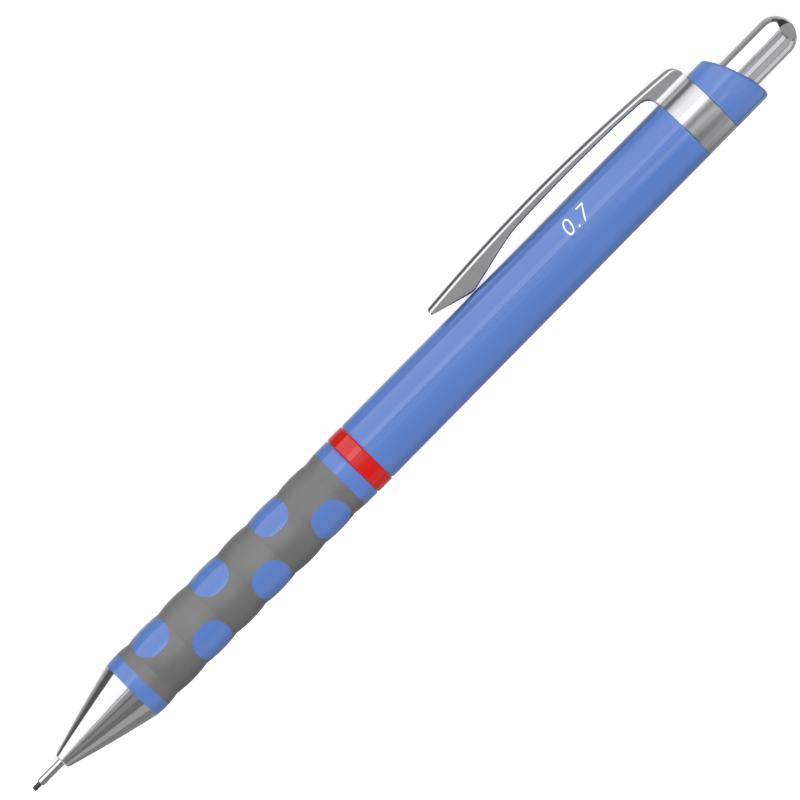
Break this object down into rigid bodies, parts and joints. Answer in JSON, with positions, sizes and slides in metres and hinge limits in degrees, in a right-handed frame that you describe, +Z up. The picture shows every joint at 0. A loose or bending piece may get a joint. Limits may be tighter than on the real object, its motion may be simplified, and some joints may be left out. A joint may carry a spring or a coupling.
{
  "type": "mechanical pencil",
  "caption": "Push-button mechanical pencil with a rubber-covered ribbed grip, screw-off metal nose, pocket clip on a band, slanted end collar and a cap over the eraser.",
  "frame": {"origin": "on the desk under the middle of the pencil's bounding box, as the pencil lies on its side", "axes": "+X along the pencil from the lead to the push button, +Y sideways towards the clip, +Z up from the desk"},
  "size_m": [0.143, 0.0126, 0.0097],
  "materials": {
    "blue_plastic": "glossy, moulded through in blue",
    "grey_rubber": "satin soft grip",
    "red_plastic": "glossy",
    "chromed_metal": "polished",
    "steel": "drawn tube and wire",
    "brass": "turned",
    "natural_plastic": "milky, unfilled",
    "black_plastic": "moulded",
    "white_eraser": "matt vinyl",
    "black_rubber": "matt",
    "graphite": "burnished graphite"
  },
  "bodies": {
    "barrel": {"grip_core": "blue_plastic", "grip_rubber": "grey_rubber", "accent_ring": "red_plastic", "upper_barrel": "blue_plastic", "clip_band": "chromed_metal", "end_collar": "blue_plastic", "clutch_case": "black_plastic", "return_spring": "steel"},
    "clip": {"clip_arm": "chromed_metal"},
    "pusher": {"lead_tube": "natural_plastic", "chuck_connector": "black_plastic", "chuck": "brass", "spare_leads": "graphite"},
    "clutch": {"clutch_ring": "brass"},
    "cap": {"push_cap": "chromed_metal"},
    "eraser": {"eraser": "white_eraser"},
    "lead": {"writing_lead": "graphite"},
    "nose": {"nose_cone": "chromed_metal", "lead_sleeve": "steel", "lead_retainer": "black_rubber"}
  },
  "joints": [
    {"name": "button_press", "type": "slide", "parent": "barrel", "child": "pusher", "axis": [-1, 0, 0], "range_m": [0, 0.003], "stiffness_N_per_m": 300, "deforming": ["return_spring"]},
    {"name": "clutch_follow", "type": "slide", "parent": "barrel", "child": "clutch", "axis": [-1, 0, 0], "range_m": [0, 0.00075]},
    {"name": "cap_pull", "type": "slide", "parent": "pusher", "child": "cap", "axis": [1, 0, 0], "range_m": [0, 0.03]},
    {"name": "eraser_pull", "type": "slide", "parent": "pusher", "child": "eraser", "axis": [1, 0, 0], "range_m": [0, 0.01]},
    {"name": "lead_feed", "type": "slide", "parent": "barrel", "child": "lead", "axis": [-1, 0, 0], "range_m": [-0.0012, 0.026]},
    {"name": "nose_off", "type": "slide", "parent": "barrel", "child": "nose", "axis": [-1, 0, 0], "range_m": [0, 0.026]},
    {"name": "clip_lift", "type": "hinge", "parent": "barrel", "child": "clip", "pos_m": [0.0487, 0.00552, 0.00118], "axis": [0, -0.4632, -0.8862], "range_deg": [0, 4], "stiffness_Nm_per_rad": 1.8}
  ],
  "couplings": [
    {"joint": "clutch_follow", "follows": "button_press", "ratio": 0.25},
    {"joint": "eraser_pull", "follows": "cap_pull", "ratio": 0.3333}
  ]
}
